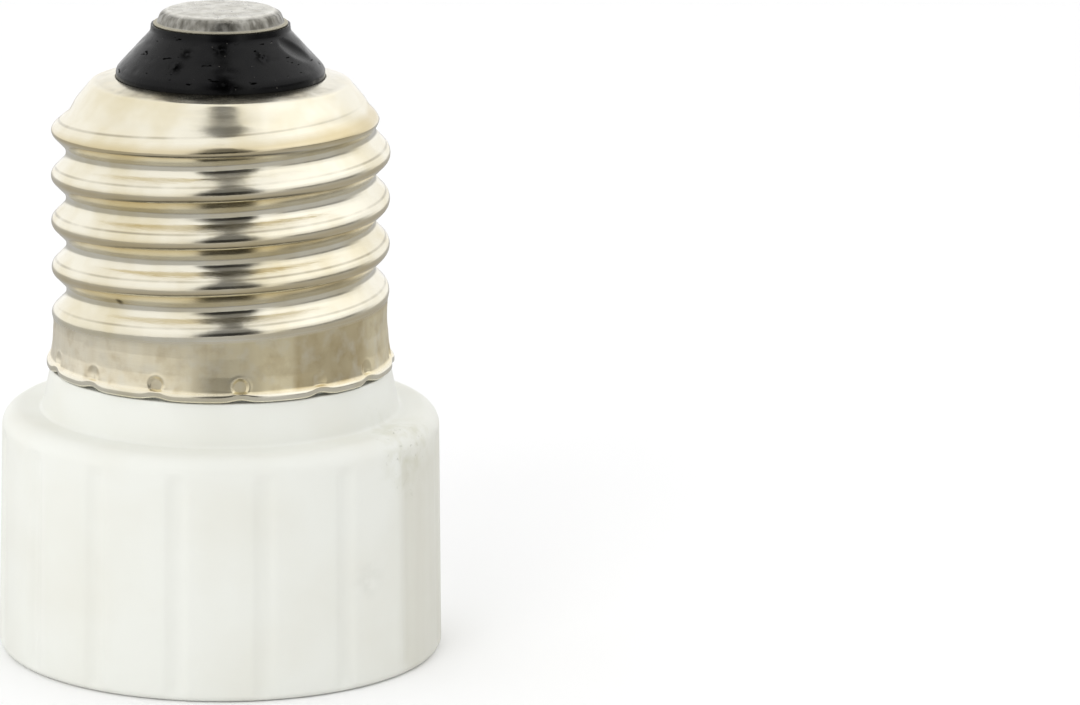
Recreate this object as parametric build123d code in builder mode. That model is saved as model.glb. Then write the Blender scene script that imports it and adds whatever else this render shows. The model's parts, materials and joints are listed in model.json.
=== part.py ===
from build123d import *
import os
from math import atan2, cos, degrees, radians, sin

# Lamp socket adapter: an Edison screw cap on a moulded casing that holds a two-pin twist-lock socket.
# Millimetres. The adapter stands on its open socket rim: z = 0 is the rim plane, +Z runs up to the cap's
# centre contact, and -Y is the front.

# Casing: outside
rim_radius = 17.45
side_draft = 0.35
shoulder_height = 19.1
shoulder_round = 0.45
rim_edge = 0.45
neck_height = 3.2
neck_draft = 0.7
ledge_width = 0.26
flute_count = 16
flute_width = 1.8
flute_depth = 0.15
flute_drop = 1.6

# Casing: inside
casing_wall = 2.8
roof_thickness = 1.9
lead_hole_radius = 4.5
spigot_height = 3.2
spigot_wall = 2.0
boss_radius = 3.7
boss_height = 1.7
key_rib_start = 4.0

# Screw cap
shell_wall = 0.35
skirt_radius = 13.04
skirt_height = 4.3
lip_flare = 0.56
lip_gap = 0.3
flare_height = 3.0
knee_flare = 0.26
knee_height = 0.9
thread_crest_radius = 13.15
thread_root_radius = 12.0
thread_pitch = 3.629
thread_length = 15.1
ridge_foot_width = 3.1
ridge_knee_width = 1.4
ridge_tip_width = 0.5
ridge_tip_height = 0.4
ridge_lead_in = 2.07
ridge_run_out = 1.0
ridge_sink = 0.15
ridge_trim = 0.04
cone_height = 2.9
cone_top_radius = 10.05
brow_height = 0.2
brow_width = 0.45
cap_opening_radius = 7.4
stake_count = 14
stake_phase = 6.5
stake_height = 1.15
stake_radius = 1.2
stake_depth = 0.22

# Cap insulator and centre contact
foot_radius = 8.1
foot_height = 0.8
insulator_cone_height = 2.9
insulator_neck_radius = 5.35
insulator_neck_height = 0.55
insulator_flange_radius = 9.2
insulator_flange_height = 1.35
contact_flange_radius = 5.2
contact_flange_height = 0.3
contact_flange_width = 0.3
contact_knee_radius = 4.65
contact_knee_height = 0.55
contact_top_radius = 4.1
contact_height = 1.0
contact_crown = 0.15
stem_radius = 1.5
stem_bore_radius = 1.0
stem_flare_radius = 2.2
stem_flare_height = 0.3
solder_length = 3.2
solder_cover = 1.0

# Socket insert
insert_gap = 0.6
insert_recess = 0.5
insert_rim = 2.6
insert_edge = 0.4
dish_wall_height = 2.5
dish_depth = 5.9
dish_slope = 2.9
floor_thickness = 2.6
hub_flat = 3.7
hub_step = 0.6
notch_radius = 2.0
notch_depth = 1.0
pin_circle_radius = 5.0
twist_angle = 74.7
entry_radius = 2.9
slot_width = 3.6
pocket_width = 6.4
back_plate_thickness = 1.5

# Fixing screws and eyelets
screw_inset = 4.64
screw_land = 2.8
recess_radius = 3.4
eyelet_bore_radius = 1.55
eyelet_wall = 0.35
eyelet_flange_radius = 2.8
eyelet_roll_radius = 2.5
eyelet_sheet = 0.3
screw_head_radius = 2.45
screw_head_height = 1.8
screw_head_edge = 0.6
screw_shank_radius = 1.4
screw_shank_length = 7.4
cross_length = 3.0
cross_width = 0.75
cross_depth = 1.0
cross_turn = 45
pilot_spare = 0.3

# Contact strips
strip_thickness = 0.4
strip_width = 3.0
strip_bend = 0.5
leaf_rise = 1.0
leaf_drop = 1.4
leaf_bend = 0.45
leaf_margin = 0.8

# Leads
conductor_radius = 0.35
sleeve_wall = 0.35
bare_length = 0.6
live_bend = 7.2
live_straight = 3.6
neutral_bend = 2.4
fold_bend = 0.7

# Clearances
spigot_clearance = 0.1
key_clearance = 0.3
lead_clearance = 0.7
fit_clearance = 0.1
wire_clearance = 0.05

# Radii worked out from the sizes above
shoulder_radius = rim_radius - side_draft
mouth_radius = rim_radius - casing_wall
bore_top_radius = shoulder_radius - casing_wall
neck_top_radius = skirt_radius + ledge_width
neck_foot_radius = neck_top_radius + neck_draft
shoulder_edge = shoulder_round * (shoulder_radius - neck_foot_radius)
lip_radius = skirt_radius + lip_flare
knee_radius = skirt_radius + knee_flare
spigot_radius = skirt_radius - shell_wall - spigot_clearance
spigot_bore_radius = spigot_radius - spigot_wall
insert_radius = bore_top_radius - insert_gap
dish_radius = insert_radius - insert_rim
hub_width = 2 * (insert_radius - hub_flat)
key_radius = insert_radius + notch_radius - notch_depth
screw_offset = insert_radius - screw_inset
eyelet_radius = eyelet_bore_radius + eyelet_wall
eyelet_hole_radius = eyelet_radius + fit_clearance
strip_radius = pin_circle_radius + pocket_width / 2 + strip_bend
leg_reach = strip_radius + strip_thickness - pin_circle_radius
sleeve_bore_radius = conductor_radius + wire_clearance
sleeve_radius = sleeve_bore_radius + sleeve_wall
lead_radius = lead_hole_radius - sleeve_radius - lead_clearance
groove_radius = conductor_radius + wire_clearance
fold_radius = spigot_radius - groove_radius

# Heights worked out from the sizes above, counted from the rim plane
roof_z = shoulder_height - roof_thickness
plate_back_z = roof_z - boss_height
insert_back_z = plate_back_z - back_plate_thickness
screw_seat_z = insert_back_z - screw_land
head_seat_z = screw_seat_z - eyelet_sheet
head_top_z = head_seat_z - screw_head_height
pilot_top_z = head_seat_z + screw_shank_length + pilot_spare
floor_z = insert_recess + dish_depth
pocket_z = floor_z + floor_thickness
hub_z = pocket_z + hub_step
ledge_z = shoulder_height + neck_height
spigot_top_z = ledge_z + spigot_height
lip_z = ledge_z + lip_gap
skirt_top_z = lip_z + skirt_height
thread_top_z = skirt_top_z + thread_length
cone_top_z = thread_top_z + cone_height
shell_top_z = cone_top_z + brow_height
insulator_base_z = shell_top_z - shell_wall - insulator_flange_height
insulator_cone_z = shell_top_z + foot_height
insulator_neck_z = insulator_cone_z + insulator_cone_height
insulator_top_z = insulator_neck_z + insulator_neck_height
button_z = insulator_top_z + contact_flange_height
contact_top_z = button_z + contact_height
live_end_z = button_z - solder_cover

# Places that come in pairs
half_twist = twist_angle / 2
neutral_turn = 180 + half_twist
half_turns = [0, 180]
screw_places = [(0, screw_offset), (0, -screw_offset)]


def radial_plane(angle):
    """Upright plane through the axis: its x runs outwards at the angle, its y runs up."""
    turn = radians(angle)
    return Plane(origin=(0, 0, 0), x_dir=(cos(turn), sin(turn), 0), z_dir=(sin(turn), -cos(turn), 0))


# Casing: a cup with drafted sides, a roof plate with screw bosses, and a spigot for the cap
side_tilt = degrees(atan2(side_draft, shoulder_height))
flute_radius = (flute_width**2 / 4 + flute_depth**2) / (2 * flute_depth)

with BuildPart() as casing:
    with BuildSketch(Plane.XZ) as casing_section:
        with BuildLine():
            Polyline(
                (mouth_radius, 0),
                (rim_radius, 0),
                (shoulder_radius, shoulder_height),
                (neck_foot_radius, shoulder_height),
                (neck_top_radius, ledge_z),
                (spigot_radius, ledge_z),
                (spigot_radius, spigot_top_z),
                (spigot_bore_radius, spigot_top_z),
                (spigot_bore_radius, shoulder_height),
                (lead_hole_radius, shoulder_height),
                (lead_hole_radius, roof_z),
                (bore_top_radius, roof_z),
                close=True,
            )
        make_face()
        shoulder_corner = casing_section.vertices().sort_by_distance((shoulder_radius, shoulder_height))[0]
        fillet(shoulder_corner, shoulder_edge)
        rim_corner = casing_section.vertices().sort_by_distance((rim_radius, 0))[0]
        chamfer(rim_corner, rim_edge)
    revolve(axis=Axis.Z)
    with PolarLocations(rim_radius + flute_radius - flute_depth, flute_count, 180 / flute_count - 90):
        with Locations(Rotation(0, -side_tilt, 0)):
            Cylinder(
                flute_radius,
                shoulder_height - flute_drop,
                align=(Align.CENTER, Align.CENTER, Align.MIN),
                mode=Mode.SUBTRACT,
            )
    with BuildSketch(Plane.XY.offset(plate_back_z)):
        with Locations(*screw_places):
            Circle(boss_radius)
    extrude(amount=boss_height + roof_thickness / 2)
    with BuildSketch(Plane.XY.offset(plate_back_z)):
        with Locations(*screw_places):
            Circle(eyelet_roll_radius + 2 * fit_clearance)
    extrude(amount=eyelet_sheet + 2 * fit_clearance, mode=Mode.SUBTRACT)
    with BuildSketch(Plane.XY.offset(plate_back_z)):
        with Locations(*screw_places):
            Circle(screw_shank_radius + wire_clearance)
    extrude(amount=pilot_top_z - plate_back_z, mode=Mode.SUBTRACT)
    with BuildSketch(Plane.XY.offset(key_rib_start)):
        with PolarLocations(key_radius, len(half_turns)):
            Circle(notch_radius - key_clearance)
    extrude(amount=roof_z + roof_thickness / 2 - key_rib_start)
    with BuildSketch(Plane.XY.offset(ledge_z)):
        with PolarLocations(fold_radius, 1, neutral_turn):
            Circle(groove_radius)
            with Locations((groove_radius, 0)):
                Rectangle(2 * groove_radius, 2 * groove_radius)
    extrude(amount=spigot_height, mode=Mode.SUBTRACT)
casing.part.label = "casing"


# Screw shell: a helical ridge trimmed at both ends, the drawn shell round it, then the hollow
ridge_start_z = skirt_top_z - ridge_lead_in
ridge_height = thread_crest_radius - thread_root_radius
ridge_knee_height = ridge_height - ridge_tip_height

with BuildPart() as screw_shell:
    with BuildLine() as ridge_path:
        Helix(
            thread_pitch,
            thread_top_z + ridge_run_out - ridge_start_z,
            thread_root_radius,
            center=(0, 0, ridge_start_z),
        )
    ridge_plane = Plane(ridge_path.line @ 0, x_dir=(1, 0, 0), z_dir=ridge_path.line % 0)
    with BuildSketch(ridge_plane):
        with BuildLine():
            Polyline(
                (-ridge_sink, -ridge_foot_width / 2),
                (ridge_knee_height, -ridge_knee_width / 2),
                (ridge_height, -ridge_tip_width / 2),
                (ridge_height, ridge_tip_width / 2),
                (ridge_knee_height, ridge_knee_width / 2),
                (-ridge_sink, ridge_foot_width / 2),
                close=True,
            )
        make_face()
    sweep(is_frenet=True)
    with BuildSketch(Plane.XZ):
        with BuildLine():
            Polyline(
                (0, lip_z),
                (skirt_radius - ridge_trim, lip_z),
                (skirt_radius - ridge_trim, skirt_top_z - ridge_knee_width / 2),
                (thread_crest_radius + ridge_trim, skirt_top_z),
                (thread_crest_radius + ridge_trim, thread_top_z - ridge_run_out),
                (thread_root_radius - ridge_sink, thread_top_z + ridge_knee_width / 2),
                (0, thread_top_z + ridge_knee_width / 2),
                close=True,
            )
        make_face()
    revolve(axis=Axis.Z, mode=Mode.INTERSECT)
    with BuildSketch(Plane.XZ):
        with BuildLine():
            Polyline(
                (0, lip_z),
                (lip_radius, lip_z),
                (knee_radius, lip_z + knee_height),
                (skirt_radius, lip_z + flare_height),
                (skirt_radius, skirt_top_z),
                (thread_root_radius, skirt_top_z),
                (thread_root_radius, thread_top_z),
                (cone_top_radius, cone_top_z),
                (cone_top_radius - brow_width, shell_top_z),
                (0, shell_top_z),
                close=True,
            )
        make_face()
    revolve(axis=Axis.Z)
    with BuildSketch(Plane.XZ):
        with BuildLine():
            Polyline(
                (0, lip_z),
                (lip_radius - shell_wall, lip_z),
                (knee_radius - shell_wall, lip_z + knee_height),
                (skirt_radius - shell_wall, lip_z + flare_height),
                (skirt_radius - shell_wall, skirt_top_z - shell_wall),
                (thread_root_radius - shell_wall, skirt_top_z - shell_wall),
                (thread_root_radius - shell_wall, thread_top_z - shell_wall),
                (cone_top_radius - shell_wall, cone_top_z - shell_wall),
                (cone_top_radius - brow_width, shell_top_z - shell_wall),
                (cap_opening_radius, shell_top_z - shell_wall),
                (cap_opening_radius, shell_top_z),
                (0, shell_top_z),
                close=True,
            )
        make_face()
    revolve(axis=Axis.Z, mode=Mode.SUBTRACT)
    stake_rise = (stake_height - knee_height) / (flare_height - knee_height)
    stake_surface = knee_radius - knee_flare * stake_rise
    with Locations((0, 0, lip_z + stake_height)):
        with PolarLocations(stake_surface + stake_radius - stake_depth, stake_count, stake_phase - 90):
            Sphere(stake_radius, mode=Mode.SUBTRACT)
screw_shell.part.label = "screw_shell"


# Cap insulator: a cone on a foot, with a flange under the shell's top and a bore for the contact's stem
with BuildPart() as cap_insulator:
    with BuildSketch(Plane.XZ):
        with BuildLine():
            Polyline(
                (stem_radius + wire_clearance, insulator_base_z),
                (insulator_flange_radius, insulator_base_z),
                (insulator_flange_radius, shell_top_z - shell_wall),
                (cap_opening_radius - wire_clearance, shell_top_z - shell_wall),
                (cap_opening_radius - wire_clearance, shell_top_z),
                (foot_radius, shell_top_z),
                (foot_radius, insulator_cone_z),
                (insulator_neck_radius + wire_clearance, insulator_neck_z),
                (insulator_neck_radius, insulator_top_z),
                (stem_radius + wire_clearance, insulator_top_z),
                close=True,
            )
        make_face()
    revolve(axis=Axis.Z)
cap_insulator.part.label = "cap_insulator"


# Centre contact: a flanged button with a hollow stem, flared under the insulator
with BuildPart() as centre_contact:
    with BuildSketch(Plane.XZ):
        with BuildLine():
            Polyline(
                (0, button_z),
                (stem_bore_radius, button_z),
                (stem_bore_radius, insulator_base_z - stem_flare_height),
                (stem_flare_radius, insulator_base_z - stem_flare_height),
                (stem_flare_radius, insulator_base_z),
                (stem_radius, insulator_base_z),
                (stem_radius, insulator_top_z),
                (contact_flange_radius, insulator_top_z),
                (contact_flange_radius, button_z),
                (contact_flange_radius - contact_flange_width, button_z),
                (contact_knee_radius, button_z + contact_knee_height),
                (contact_top_radius, contact_top_z - contact_crown),
                (0, contact_top_z),
                close=True,
            )
        make_face()
    revolve(axis=Axis.Z)
centre_contact.part.label = "centre_contact"


# Solder in the stem, round the end of the live conductor
with BuildPart() as centre_solder:
    with BuildSketch(Plane.XY.offset(button_z - solder_length)):
        Circle(stem_bore_radius)
    extrude(amount=solder_length)
    with BuildSketch(Plane.XY.offset(button_z - solder_length)):
        Circle(conductor_radius)
    extrude(amount=solder_length - solder_cover, mode=Mode.SUBTRACT)
centre_solder.part.label = "centre_solder"


# Socket insert: a dish with two keyholes, screw recesses, edge notches and contact pockets behind
keyhole_arcs = [CenterArc((0, 0), pin_circle_radius, turn - half_twist, twist_angle) for turn in half_turns]
dish_taper = degrees(atan2(dish_slope, dish_depth - dish_wall_height))

with BuildPart() as socket_insert:
    with BuildSketch(Plane.XY.offset(insert_recess)):
        Circle(insert_radius)
    extrude(amount=hub_z - insert_recess)
    with BuildSketch(Plane.XY.offset(insert_recess)):
        Circle(dish_radius)
    extrude(amount=dish_wall_height, mode=Mode.SUBTRACT)
    chamfer(socket_insert.edges().group_by(Axis.Z)[0], insert_edge)
    with BuildSketch(Plane.XY.offset(insert_recess + dish_wall_height)):
        Circle(dish_radius)
    extrude(amount=dish_depth - dish_wall_height, taper=dish_taper, mode=Mode.SUBTRACT)
    with BuildSketch(Plane.XY.offset(hub_z)):
        Circle(insert_radius)
        Rectangle(hub_width, 2 * insert_radius, mode=Mode.INTERSECT)
    extrude(amount=insert_back_z - hub_z)
    with BuildSketch(Plane.XY.offset(pocket_z)):
        for arc in keyhole_arcs:
            SlotArc(arc, pocket_width)
        with PolarLocations(pin_circle_radius + leg_reach / 2, len(half_turns), half_twist):
            Rectangle(leg_reach, strip_width + 2 * fit_clearance)
    extrude(amount=insert_back_z - pocket_z, mode=Mode.SUBTRACT)
    with BuildSketch(Plane.XY.offset(insert_recess)):
        for arc in keyhole_arcs:
            SlotArc(arc, slot_width)
        with PolarLocations(pin_circle_radius, len(half_turns), -half_twist):
            Circle(entry_radius)
    extrude(amount=(pocket_z + insert_back_z) / 2 - insert_recess, mode=Mode.SUBTRACT)
    with BuildSketch(Plane.XY.offset(insert_recess)):
        with Locations(*screw_places):
            Circle(recess_radius)
    extrude(amount=screw_seat_z - insert_recess, mode=Mode.SUBTRACT)
    with BuildSketch(Plane.XY.offset(screw_seat_z)):
        with Locations(*screw_places):
            Circle(eyelet_hole_radius)
    extrude(amount=screw_land, mode=Mode.SUBTRACT)
    with BuildSketch(Plane.XY.offset(insert_recess)):
        with PolarLocations(key_radius, len(half_turns)):
            Circle(notch_radius)
    extrude(amount=hub_z - insert_recess, mode=Mode.SUBTRACT)
socket_insert.part.label = "socket_insert"


# Back plate: closes the contact pockets, with holes for the eyelets and slots for the strips
with BuildPart() as back_plate:
    with BuildSketch(Plane.XY.offset(insert_back_z)):
        Circle(insert_radius - fit_clearance)
        Rectangle(hub_width - 2 * fit_clearance, 2 * insert_radius, mode=Mode.INTERSECT)
        with Locations(*screw_places):
            Circle(eyelet_hole_radius, mode=Mode.SUBTRACT)
        with PolarLocations(strip_radius - strip_bend / 2, len(half_turns), half_twist):
            Rectangle(
                strip_thickness + strip_bend + 2 * fit_clearance,
                strip_width + 2 * fit_clearance,
                mode=Mode.SUBTRACT,
            )
    extrude(amount=back_plate_thickness)
back_plate.part.label = "back_plate"


# Eyelets: hollow rivets from the screw recess through the back plate
with BuildPart() as eyelets:
    for place in screw_places:
        with BuildSketch(Plane.XY.offset(head_seat_z)):
            with Locations(place):
                Circle(eyelet_flange_radius)
        extrude(amount=eyelet_sheet)
        with BuildSketch(Plane.XY.offset(screw_seat_z)):
            with Locations(place):
                Circle(eyelet_radius)
        extrude(amount=plate_back_z - screw_seat_z)
        with BuildSketch(Plane.XY.offset(plate_back_z)):
            with Locations(place):
                Circle(eyelet_roll_radius)
        extrude(amount=eyelet_sheet)
        with BuildSketch(Plane.XY.offset(head_seat_z)):
            with Locations(place):
                Circle(eyelet_bore_radius)
        extrude(amount=plate_back_z - screw_seat_z + 2 * eyelet_sheet, mode=Mode.SUBTRACT)
eyelets.part.label = "eyelets"


# Fixing screws: heads with a cross recess, facing the mouth
with BuildPart() as fixing_screws:
    with BuildSketch(Plane.XY.offset(head_top_z)):
        with Locations(*screw_places):
            Circle(screw_head_radius)
    extrude(amount=screw_head_height)
    chamfer(fixing_screws.edges().group_by(Axis.Z)[0], screw_head_edge)
    with BuildSketch(Plane.XY.offset(head_seat_z)):
        with Locations(*screw_places):
            Circle(screw_shank_radius)
    extrude(amount=screw_shank_length)
    with BuildSketch(Plane.XY.offset(head_top_z)):
        with Locations(*screw_places):
            Rectangle(cross_length, cross_width, rotation=cross_turn)
            Rectangle(cross_width, cross_length, rotation=cross_turn)
    extrude(amount=cross_depth, mode=Mode.SUBTRACT)
fixing_screws.part.label = "fixing_screws"


# Contact strips: a tab behind the back plate, a leg through it, a foot along it and a spring leaf
def contact_strip(angle):
    """Bent strip behind the slot end that lies at the angle; its leaf meets the lamp pin's head."""
    tab_z = plate_back_z + strip_thickness / 2
    foot_z = insert_back_z - strip_thickness / 2
    heel_radius = pin_circle_radius - pocket_width / 2 + leaf_margin
    toe_radius = pin_circle_radius + pocket_width / 2 - leaf_margin
    with BuildPart() as strip:
        with BuildSketch(radial_plane(angle)):
            with BuildLine():
                FilletPolyline(
                    (lead_radius - strip_width / 2, tab_z),
                    (strip_radius, tab_z),
                    (strip_radius, foot_z),
                    (heel_radius, foot_z),
                    (heel_radius, foot_z - leaf_rise),
                    (toe_radius, foot_z - leaf_rise - leaf_drop),
                    radius=leaf_bend,
                )
            trace(line_width=strip_thickness)
        extrude(amount=strip_width / 2, both=True)
    return strip.part


contact_live = contact_strip(half_twist)
contact_live.label = "contact_live"
contact_neutral = contact_strip(neutral_turn)
contact_neutral.label = "contact_neutral"


# Leads: bare ends stand on the contact tabs, sleeves run through the roof plate and up into the cap
def lead(angle, points, radii, outer, bore):
    """Round wire or sleeve along straight runs and arcs in the upright plane at the angle.

    The points are (distance from the axis, height); a bore of 0 gives a solid wire.
    """
    with BuildPart() as wire:
        with BuildLine(radial_plane(angle)) as route:
            FilletPolyline(*points, radius=radii)
        with BuildSketch(Plane(route.line @ 0, z_dir=route.line % 0)):
            Circle(outer)
            if bore:
                Circle(bore, mode=Mode.SUBTRACT)
        sweep()
    return wire.part


lead_start = (lead_radius, plate_back_z + strip_thickness)
sleeve_start = (lead_radius, plate_back_z + strip_thickness + bare_length)

live_bends = [
    (lead_radius, skirt_top_z),
    (0, insulator_base_z - stem_flare_height - live_straight),
]
live_radii = [live_bend, live_bend]
live_route = [lead_start, *live_bends, (0, live_end_z)]
live_conductor = lead(half_twist, live_route, live_radii, conductor_radius, 0)
live_conductor.label = "live_conductor"
live_sleeve_route = [sleeve_start, *live_bends, (0, insulator_base_z - 2 * stem_flare_height)]
live_sleeve = lead(half_twist, live_sleeve_route, live_radii, sleeve_radius, sleeve_bore_radius)
live_sleeve.label = "live_sleeve"

fold_z = spigot_top_z + conductor_radius + fit_clearance
neutral_bends = [
    (lead_radius, ledge_z - fold_bend),
    (fold_radius / 2, fold_z),
]
neutral_radii = [neutral_bend, neutral_bend]
neutral_route = [lead_start, *neutral_bends, (fold_radius, fold_z), (fold_radius, ledge_z + fold_bend)]
neutral_conductor = lead(neutral_turn, neutral_route, [*neutral_radii, fold_bend], conductor_radius, 0)
neutral_conductor.label = "neutral_conductor"
neutral_sleeve_route = [sleeve_start, *neutral_bends, (spigot_bore_radius - 2 * sleeve_radius, fold_z)]
neutral_sleeve = lead(neutral_turn, neutral_sleeve_route, neutral_radii, sleeve_radius, sleeve_bore_radius)
neutral_sleeve.label = "neutral_sleeve"


# One file for each piece
os.makedirs("parts", exist_ok=True)
built = [
    casing,
    screw_shell,
    cap_insulator,
    centre_contact,
    centre_solder,
    socket_insert,
    back_plate,
    eyelets,
    fixing_screws,
]
strips_and_leads = [
    contact_live,
    contact_neutral,
    live_conductor,
    live_sleeve,
    neutral_conductor,
    neutral_sleeve,
]
for piece in [*(builder.part for builder in built), *strips_and_leads]:
    export_step(piece, f"parts/{piece.label}.step")
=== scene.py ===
"""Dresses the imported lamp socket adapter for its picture.

The frame holds the adapter's solids. This script models the pieces whose look needs more than those solids
give, gives every piece its finish, and adds the floor, the light and the camera. Sizes are in millimetres.
"""

import json
import logging
import math
from dataclasses import dataclass
from enum import Enum
from typing import Callable, Sequence

import bpy
import numpy as np
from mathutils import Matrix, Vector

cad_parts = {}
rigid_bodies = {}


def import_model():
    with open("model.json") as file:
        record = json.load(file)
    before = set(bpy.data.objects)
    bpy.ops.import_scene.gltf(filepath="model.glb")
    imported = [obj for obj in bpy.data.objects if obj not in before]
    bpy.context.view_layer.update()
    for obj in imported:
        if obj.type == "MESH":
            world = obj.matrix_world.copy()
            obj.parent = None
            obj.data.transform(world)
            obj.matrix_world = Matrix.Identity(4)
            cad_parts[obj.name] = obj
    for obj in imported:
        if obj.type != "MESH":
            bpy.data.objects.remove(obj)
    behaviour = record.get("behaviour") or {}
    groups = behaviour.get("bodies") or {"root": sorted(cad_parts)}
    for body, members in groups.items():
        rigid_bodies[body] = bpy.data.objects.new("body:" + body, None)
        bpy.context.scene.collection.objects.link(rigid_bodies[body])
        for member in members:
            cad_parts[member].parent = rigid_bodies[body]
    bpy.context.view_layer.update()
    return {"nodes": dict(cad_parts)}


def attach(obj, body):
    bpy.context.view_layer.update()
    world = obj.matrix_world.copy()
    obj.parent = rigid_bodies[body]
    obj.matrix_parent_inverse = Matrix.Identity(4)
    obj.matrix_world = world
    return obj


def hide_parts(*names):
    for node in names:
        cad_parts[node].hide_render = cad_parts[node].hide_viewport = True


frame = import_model()
LOG = logging.getLogger("adapter")
MM = 0.001
TURN = 2 * math.pi
MERGE_GAP = 0.0005
BEVEL_STEPS = 3
# Angles in degrees: faces that count as one, edges that are broken, and edges that are shaded smooth.
FLAT_ANGLE, BROKEN_ANGLE, SOFT_ANGLE = 1.0, 40.0, 32.0

Point = tuple[float, float]
Corner = tuple[float, float, float]
Place = tuple[float, float, float]
Span = tuple[float, float]
Mask = bpy.types.NodeSocket
Moved = tuple[np.ndarray, np.ndarray]


class Lay(Enum):
    """How a pattern lies on an upright round piece: its three scales, in x, y and z."""

    EVEN = (1.0, 1.0, 1.0)
    AROUND = (0.12, 0.12, 1.0)
    BROAD = (0.25, 0.25, 1.0)
    UPRIGHT = (1.0, 1.0, 0.1)


class Way(Enum):
    """What a ramp is measured along."""

    RIGHT = "X"
    BACK = "Y"
    UP = "Z"
    OUT = "distance from the axis"
    ANGLE = "angle in radians from the right side, negative in front"
    SKIRT = "depth below the thread's lowest crest"
    # Painted reflection: the band just under each crest.
    WORN = "distance from the worn band, in pitches"
    LINE = "distance from the rolling wheel's line, in pitches"
    OPENING = "slant away from the tent's opening"


@dataclass(frozen=True)
class Ramp:
    """An edge of a mask: its way, where it starts and is full, and its value at the start."""

    way: Way
    start: float
    end: float
    low: float = 0.0


@dataclass(frozen=True)
class Patches:
    """Noise patches: their size, the noise where they start and are full, their lay, and the values they span."""

    size: float
    low: float
    high: float
    lay: Lay = Lay.EVEN
    detail: float = 3.0
    shift: float = 0.0
    span: Span = (0.0, 1.0)


@dataclass(frozen=True)
class Grain:
    """Fine relief: the patches that stand proud, their height and how strongly they are lit."""

    patches: Patches
    depth: float
    strength: float = 0.5


@dataclass(frozen=True)
class Mark:
    """A mark's place on a piece, and how far it reaches."""

    place: Place
    reach: float


@dataclass(frozen=True)
class Layer:
    """A colour over those below: its share, and the patches, the mark and the ramps that it keeps to."""

    colour: str
    share: float = 1.0
    patches: Patches | None = None
    mark: Mark | None = None
    ramps: tuple[Ramp, ...] = ()


def linear(colour: str) -> tuple[float, float, float, float]:
    """Turns an sRGB hex colour into linear red, green, blue and alpha.

    Args:
        colour: the colour as "#RRGGBB".

    Returns:
        The four linear values.
    """
    parts = [int(colour[i:i + 2], 16) / 255 for i in (1, 3, 5)]
    red, green, blue = (c / 12.92 if c <= 0.04045 else ((c + 0.055) / 1.055) ** 2.4 for c in parts)
    return red, green, blue, 1.0


def smooth(values: np.ndarray, start: float, end: float) -> np.ndarray:
    """Eases from 0 at start to 1 at end.

    Args:
        values: the values to look up.
        start: where the ease begins.
        end: where the ease is complete; it may be below start.

    Returns:
        The eased values, from 0 to 1.
    """
    part = np.clip((values - start) / (end - start), 0.0, 1.0)
    return part * part * (3.0 - 2.0 * part)


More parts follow.
